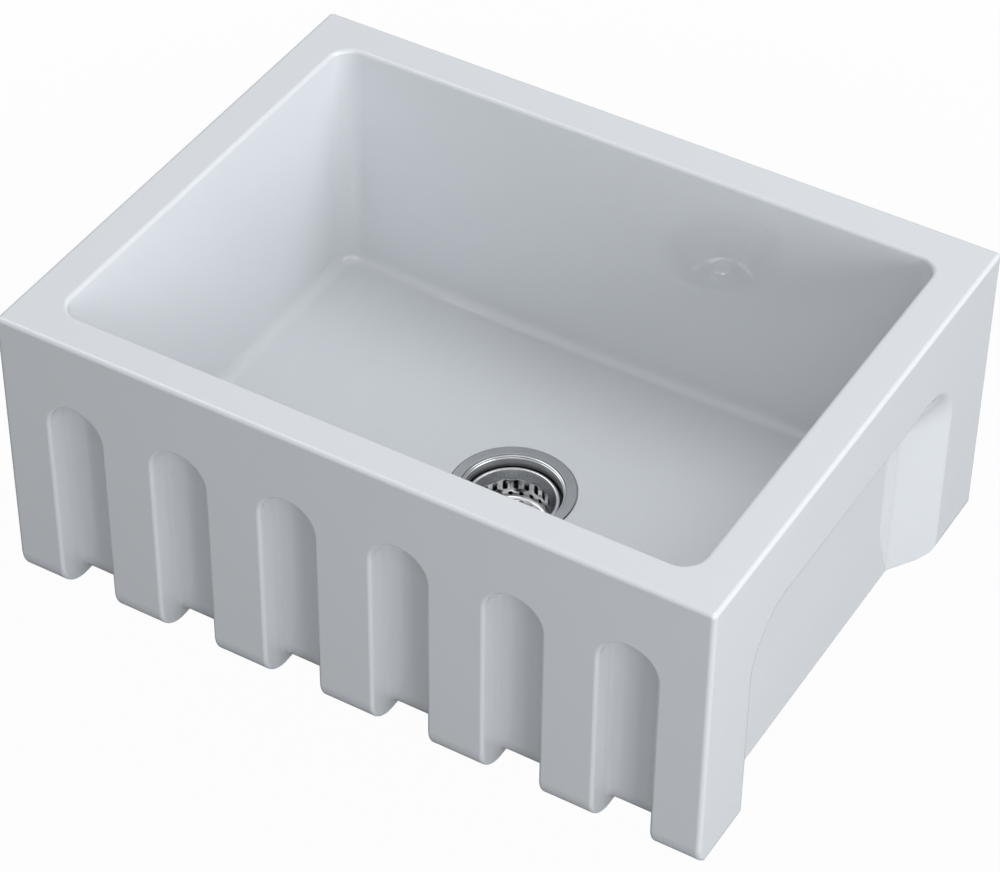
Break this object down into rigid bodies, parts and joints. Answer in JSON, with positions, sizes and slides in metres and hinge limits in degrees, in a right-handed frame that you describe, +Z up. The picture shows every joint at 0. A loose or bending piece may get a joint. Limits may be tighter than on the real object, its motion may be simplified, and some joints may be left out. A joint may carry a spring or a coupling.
{
  "type": "farmhouse apron front sink",
  "caption": "White fireclay farmhouse sink with a fluted apron front, recessed sides and a stainless basket strainer with lift-out basket, stopper, lock nut and tailpiece.",
  "frame": {"origin": "middle of the sink's plan, in the plane of the base that stands on the cabinet's platform", "axes": "+X to the user's right, +Y from the apron to the back wall, +Z up out of the bowl"},
  "size_m": [0.6, 0.456, 0.3996],
  "materials": {
    "fireclay": "white gloss glaze, bare fireclay under the base",
    "stainless": "polished pressing with a brushed flange",
    "cast_brass": "as cast and machined",
    "zinc": "dull plated casting",
    "chrome_tube": "polished chrome",
    "chrome_nut": "polished chrome",
    "chrome_knob": "polished chrome",
    "rubber": "matt black rubber",
    "foam_rubber": "soft grey seal",
    "fibre": "pressed fibre",
    "white_plastic": "moulded nylon"
  },
  "bodies": {
    "sink": {"basin": "fireclay", "flange_seal": "foam_rubber", "strainer_body": "stainless", "outlet_spud": "cast_brass", "clamp_gasket": "rubber"},
    "basket": {"basket": "stainless", "basket_bush": "white_plastic", "bush_ring": "stainless", "stem_o_ring": "rubber"},
    "stopper": {"stem": "stainless", "knob": "chrome_knob", "stopper_cup": "stainless", "stopper": "rubber", "stopper_washer": "stainless", "stem_nut": "cast_brass", "stem_clip": "stainless"},
    "friction_ring": {"friction_ring": "fibre"},
    "lock_nut": {"lock_nut": "zinc"},
    "tailpiece": {"tailpiece": "chrome_tube", "tailpiece_washer": "white_plastic"},
    "coupling_nut": {"coupling_nut": "chrome_nut"}
  },
  "joints": [
    {"name": "basket_lift", "type": "slide", "parent": "sink", "child": "basket", "axis": [0, 0, 1], "range_m": [0, 0.12]},
    {"name": "stopper_push", "type": "slide", "parent": "basket", "child": "stopper", "axis": [0, 0, -1], "range_m": [0, 0.006]},
    {"name": "lock_nut_drop", "type": "slide", "parent": "sink", "child": "friction_ring", "axis": [0, 0, -1], "range_m": [0, 0.016]},
    {"name": "lock_nut_turn", "type": "hinge", "parent": "friction_ring", "child": "lock_nut", "pos_m": [0, 0.016, 0], "axis": [0, 0, -1], "range_deg": [0, 2700]},
    {"name": "tail_drop", "type": "slide", "parent": "sink", "child": "tailpiece", "axis": [0, 0, -1], "range_m": [0, 0.0177]},
    {"name": "coupling_nut_turn", "type": "hinge", "parent": "tailpiece", "child": "coupling_nut", "pos_m": [0, 0.016, -0.03], "axis": [0, 0, -1], "range_deg": [0, 2880]}
  ],
  "couplings": [
    {"joint": "lock_nut_drop", "follows": "lock_nut_turn", "m_per_rad": 0.00033741},
    {"joint": "tail_drop", "follows": "coupling_nut_turn", "m_per_rad": 0.00035014}
  ]
}
